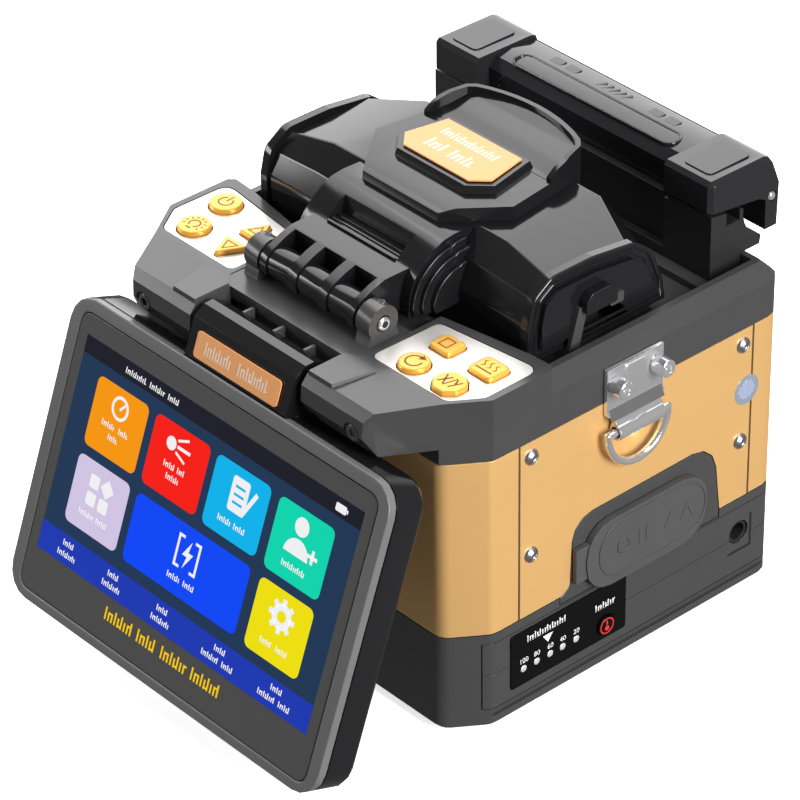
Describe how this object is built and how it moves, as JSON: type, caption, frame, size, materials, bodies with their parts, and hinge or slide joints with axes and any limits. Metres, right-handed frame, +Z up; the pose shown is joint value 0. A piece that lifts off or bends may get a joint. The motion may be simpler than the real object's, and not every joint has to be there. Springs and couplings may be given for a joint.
{
  "type": "fiber fusion splicer",
  "caption": "Portable fibre fusion splicer: gold-panelled box with a tilting front display, hinged wind cover, heat-shrink oven, keypads, side strap rings and a slide-out battery.",
  "frame": {"origin": "centre of the bounding box in plan, on the surface the feet stand on", "axes": "+Z up; -Y towards the operator, the side the display is on; +X the side with the optical ports and the battery"},
  "size_m": [0.139, 0.1738, 0.1322],
  "materials": {
    "black_plastic": "glossy near-black injection moulding",
    "satin_plastic": "satin dark grey moulding",
    "smoked_plastic": "polished smoked moulding",
    "gold_metal": "satin champagne gold, metallic paint",
    "key_gold": "satin amber key cap",
    "silver_plate": "fine satin silver plate",
    "orange_label": "smooth apricot label",
    "black_label": "smooth black label",
    "chrome": "polished",
    "steel": "ground",
    "brass": "satin",
    "rubber": "matt moulded rubber",
    "glass": "gloss display cover glass",
    "circuit_board": "green solder mask"
  },
  "bodies": {
    "chassis": {"base_tray": "black_plastic", "bracket_left": "chrome", "bracket_right": "chrome", "bracket_screw_front_left": "chrome", "bracket_screw_front_right": "chrome", "bracket_screw_rear_left": "chrome", "bracket_screw_rear_right": "chrome", "cover_hinge_pin": "steel", "electrode_front": "steel", "electrode_rear": "steel", "foot_front_left": "rubber", "foot_front_right": "rubber", "foot_rear_left": "rubber", "foot_rear_right": "rubber", "front_panel": "gold_metal", "heater_base": "satin_plastic", "heater_hinge_pin": "steel", "heater_plate": "brass", "key_plate_left": "silver_plate", "key_plate_right": "silver_plate", "main_board": "circuit_board", "microscope_front": "satin_plastic", "microscope_rear": "satin_plastic", "monitor_hinge_shaft": "steel", "opm_port": "steel", "port_block": "black_plastic", "rear_panel": "gold_metal", "sheath_base_left": "satin_plastic", "sheath_base_right": "satin_plastic", "side_panel_left": "gold_metal", "side_panel_right": "gold_metal", "top_housing": "black_plastic", "vfl_port": "steel", "vgroove_block": "satin_plastic"},
    "monitor": {"monitor_back": "black_plastic", "monitor_bezel": "black_plastic", "display_glass": "glass", "lcd_panel": "satin_plastic", "tongue_label": "orange_label"},
    "wind_cover": {"wind_cover": "black_plastic", "cover_label": "orange_label"},
    "heater_lid": {"heater_lid": "smoked_plastic"},
    "battery": {"battery_case_lower": "black_plastic", "battery_case_upper": "black_plastic", "gauge_label": "black_label", "dc_jack": "satin_plastic"},
    "push_button": {"push_button": "black_label"},
    "port_cover": {"port_cover": "rubber"},
    "d_ring_left": {"d_ring_left": "chrome"},
    "d_ring_right": {"d_ring_right": "chrome"},
    "sheath_clamp_left": {"sheath_clamp_left": "steel"},
    "sheath_clamp_right": {"sheath_clamp_right": "steel"},
    "key_power": {"key_power": "key_gold"},
    "key_light": {"key_light": "key_gold"},
    "key_down": {"key_down": "key_gold"},
    "key_up": {"key_up": "key_gold"},
    "key_reset": {"key_reset": "key_gold"},
    "key_stop": {"key_stop": "key_gold"},
    "key_heat": {"key_heat": "key_gold"},
    "key_axis": {"key_axis": "key_gold"}
  },
  "joints": [
    {"name": "monitor_tilt", "type": "hinge", "parent": "chassis", "child": "monitor", "pos_m": [0, -0.04615, 0.097], "axis": [-1, 0, 0], "range_deg": [-20, 90]},
    {"name": "wind_cover_hinge", "type": "hinge", "parent": "chassis", "child": "wind_cover", "pos_m": [0, -0.02615, 0.1095], "axis": [1, 0, 0], "range_deg": [0, 90]},
    {"name": "heater_lid_hinge", "type": "hinge", "parent": "chassis", "child": "heater_lid", "pos_m": [0, 0.08445, 0.1143], "axis": [-1, 0, 0], "range_deg": [0, 80]},
    {"name": "battery_slide", "type": "slide", "parent": "chassis", "child": "battery", "axis": [1, 0, 0], "range_m": [0, 0.12]},
    {"name": "push_button_travel", "type": "slide", "parent": "battery", "child": "push_button", "axis": [-1, 0, 0], "range_m": [0, 0.0005], "stiffness_N_per_m": 600},
    {"name": "port_cover_hinge", "type": "hinge", "parent": "chassis", "child": "port_cover", "pos_m": [0.0642, 0.05205, 0.0395], "axis": [0, 0, 1], "range_deg": [0, 100]},
    {"name": "d_ring_left_swing", "type": "hinge", "parent": "chassis", "child": "d_ring_left", "pos_m": [-0.0662, 0.02385, 0.0775], "axis": [0, 1, 0], "range_deg": [-5, 100]},
    {"name": "d_ring_right_swing", "type": "hinge", "parent": "chassis", "child": "d_ring_right", "pos_m": [0.0662, 0.02385, 0.0775], "axis": [0, -1, 0], "range_deg": [-5, 100]},
    {"name": "sheath_clamp_left_hinge", "type": "hinge", "parent": "chassis", "child": "sheath_clamp_left", "pos_m": [0, 0.02525, 0.1075], "axis": [-1, 0, 0], "range_deg": [0, 80]},
    {"name": "sheath_clamp_right_hinge", "type": "hinge", "parent": "chassis", "child": "sheath_clamp_right", "pos_m": [0, 0.02525, 0.1075], "axis": [-1, 0, 0], "range_deg": [0, 80]},
    {"name": "key_power_travel", "type": "slide", "parent": "chassis", "child": "key_power", "axis": [0, 0, -1], "range_m": [0, 0.001], "stiffness_N_per_m": 250},
    {"name": "key_light_travel", "type": "slide", "parent": "chassis", "child": "key_light", "axis": [0, 0, -1], "range_m": [0, 0.001], "stiffness_N_per_m": 250},
    {"name": "key_down_travel", "type": "slide", "parent": "chassis", "child": "key_down", "axis": [0, 0, -1], "range_m": [0, 0.001], "stiffness_N_per_m": 250},
    {"name": "key_up_travel", "type": "slide", "parent": "chassis", "child": "key_up", "axis": [0, 0, -1], "range_m": [0, 0.001], "stiffness_N_per_m": 250},
    {"name": "key_reset_travel", "type": "slide", "parent": "chassis", "child": "key_reset", "axis": [0, 0, -1], "range_m": [0, 0.001], "stiffness_N_per_m": 250},
    {"name": "key_stop_travel", "type": "slide", "parent": "chassis", "child": "key_stop", "axis": [0, 0, -1], "range_m": [0, 0.001], "stiffness_N_per_m": 250},
    {"name": "key_heat_travel", "type": "slide", "parent": "chassis", "child": "key_heat", "axis": [0, 0, -1], "range_m": [0, 0.001], "stiffness_N_per_m": 250},
    {"name": "key_axis_travel", "type": "slide", "parent": "chassis", "child": "key_axis", "axis": [0, 0, -1], "range_m": [0, 0.001], "stiffness_N_per_m": 250}
  ]
}
